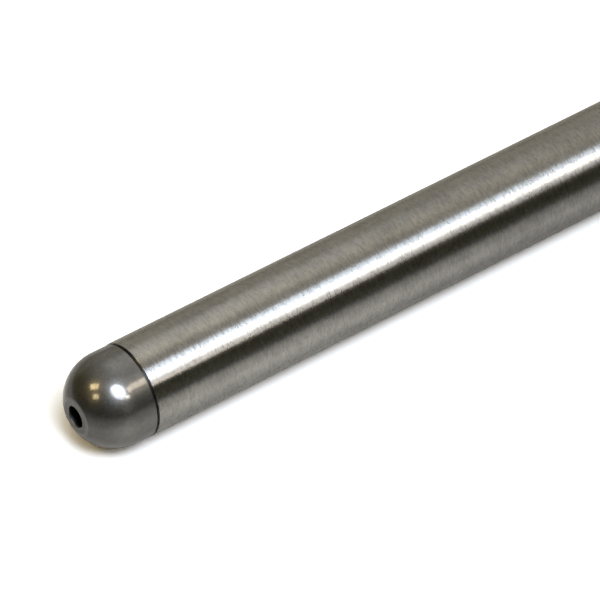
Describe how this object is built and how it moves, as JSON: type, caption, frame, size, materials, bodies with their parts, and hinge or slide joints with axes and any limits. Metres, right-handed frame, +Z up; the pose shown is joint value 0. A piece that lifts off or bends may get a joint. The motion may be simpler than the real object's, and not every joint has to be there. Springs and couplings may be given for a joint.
{
  "type": "engine pushrod",
  "caption": "Straight steel engine pushrod: a ground tube with a drilled ball tip pressed into each end, passing lift and oil from a lifter to a rocker arm.",
  "frame": {"origin": "on the rod's axis, at the middle of its length", "axes": "+X along the rod from the lifter tip to the rocker tip, +Z up with the rod lying level"},
  "size_m": [0.198, 0.008, 0.008],
  "materials": {
    "ground_steel": "ground",
    "hardened_steel": "satin"
  },
  "bodies": {
    "root": {"tube": "ground_steel", "lifter_tip": "hardened_steel", "rocker_tip": "hardened_steel"}
  },
  "joints": []
}
